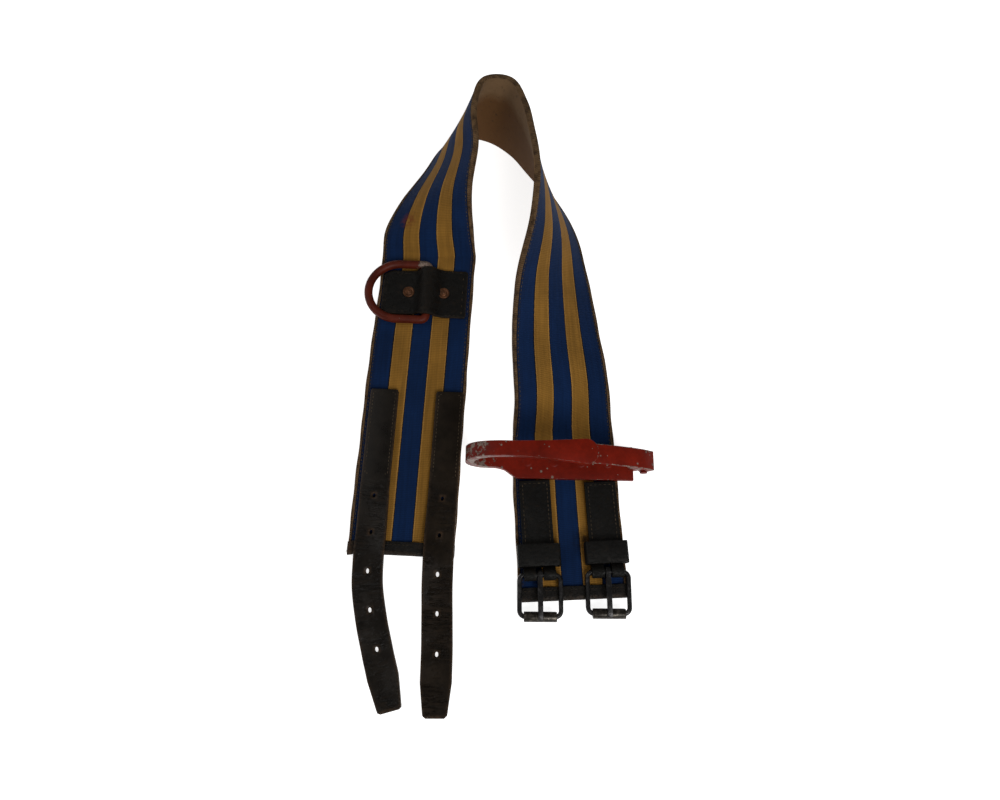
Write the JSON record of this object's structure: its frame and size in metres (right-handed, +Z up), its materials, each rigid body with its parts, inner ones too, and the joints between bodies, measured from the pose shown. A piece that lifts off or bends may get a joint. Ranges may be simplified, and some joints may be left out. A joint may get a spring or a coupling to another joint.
{
  "type": "climbing belt",
  "caption": "Vintage climbing waist belt of striped webbing with a red ring, a large red snap hook, leather straps and roller buckles, laid in a bent U.",
  "frame": {"origin": "middle of the bounding box at the surface the belt lies on", "axes": "+Y from the buckles towards the bend, along the laid belt; +X towards the arm with the hook; +Z up"},
  "size_m": [0.2466, 0.5276, 0.0842],
  "materials": {
    "black_iron": "black, worn",
    "steel": "worn steel",
    "black_leather": "waxed, creased",
    "red_paint": "dark red paint, chipped",
    "lining": "plain canvas, matt",
    "copper": "dull copper",
    "strap_leather": "waxed, worn shiny",
    "webbing": "striped woven cotton, matt"
  },
  "bodies": {
    "belt": {"chape_left": "black_leather", "chape_right": "black_leather", "end_binding_left": "black_leather", "end_binding_right": "black_leather", "hook_back_plate": "steel", "hook_body": "red_paint", "hook_gate_pin": "steel", "hook_gate_spring": "steel", "hook_rivet_1": "steel", "hook_rivet_2": "steel", "hook_rivet_3": "steel", "hook_rivet_4": "steel", "keeper_left": "black_leather", "keeper_right": "black_leather", "lining_band": "lining", "patch_burr_inner": "copper", "patch_burr_outer": "copper", "patch_rivet_inner": "copper", "patch_rivet_outer": "copper", "ring_patch": "black_leather", "strap_left_sewn": "strap_leather", "strap_right_sewn": "strap_leather", "webbing_band": "webbing"},
    "buckle_left": {"buckle_frame_left": "black_iron"},
    "buckle_right": {"buckle_frame_right": "black_iron"},
    "prong_left": {"buckle_prong_left": "black_iron"},
    "prong_right": {"buckle_prong_right": "black_iron"},
    "roller_left": {"buckle_roller_left": "steel"},
    "roller_right": {"buckle_roller_right": "steel"},
    "ring": {"dee_ring": "red_paint"},
    "gate": {"hook_gate": "red_paint"},
    "strap_left": {"strap_left_free": "strap_leather"},
    "strap_right": {"strap_right_free": "strap_leather"}
  },
  "joints": [
    {"name": "ring_hinge", "type": "hinge", "parent": "belt", "child": "ring", "pos_m": [-0.06609, 0.08717, 0.0091], "axis": [0.0486, 0.9988, 0], "range_deg": [0, 150]},
    {"name": "gate_hinge", "type": "hinge", "parent": "belt", "child": "gate", "pos_m": [0.11485, -0.07002, 0.0164], "axis": [-0.0215, -0.9998, 0], "range_deg": [0, 25], "stiffness_Nm_per_rad": 0.3, "springref_deg": -20.05},
    {"name": "buckle_left_hinge", "type": "hinge", "parent": "belt", "child": "buckle_left", "pos_m": [0.02982, -0.15939, 0.01], "axis": [-1, 0.0075, 0.0027], "range_deg": [0, 65]},
    {"name": "prong_left_hinge", "type": "hinge", "parent": "buckle_left", "child": "prong_left", "pos_m": [0.02982, -0.15939, 0.01], "axis": [-1, 0.0075, 0.0027], "range_deg": [0, 40]},
    {"name": "roller_left_spin", "type": "hinge", "parent": "buckle_left", "child": "roller_left", "pos_m": [0.02958, -0.19095, 0.00835], "axis": [1, -0.0075, -0.0027], "continuous": true},
    {"name": "buckle_right_hinge", "type": "hinge", "parent": "belt", "child": "buckle_right", "pos_m": [0.08297, -0.15701, 0.01], "axis": [-1, 0.0075, 0.0027], "range_deg": [0, 65]},
    {"name": "prong_right_hinge", "type": "hinge", "parent": "buckle_right", "child": "prong_right", "pos_m": [0.08297, -0.15701, 0.01], "axis": [-1, 0.0075, 0.0027], "range_deg": [0, 40]},
    {"name": "roller_right_spin", "type": "hinge", "parent": "buckle_right", "child": "roller_right", "pos_m": [0.08273, -0.18856, 0.00835], "axis": [1, -0.0075, -0.0027], "continuous": true},
    {"name": "strap_left_lift", "type": "hinge", "parent": "belt", "child": "strap_left", "pos_m": [-0.10332, -0.08117, 0.0084], "axis": [-0.9988, 0.0486, 0], "range_deg": [0, 50]},
    {"name": "strap_right_lift", "type": "hinge", "parent": "belt", "child": "strap_right", "pos_m": [-0.04759, -0.08388, 0.0084], "axis": [-0.9988, 0.0486, 0], "range_deg": [0, 50]}
  ]
}
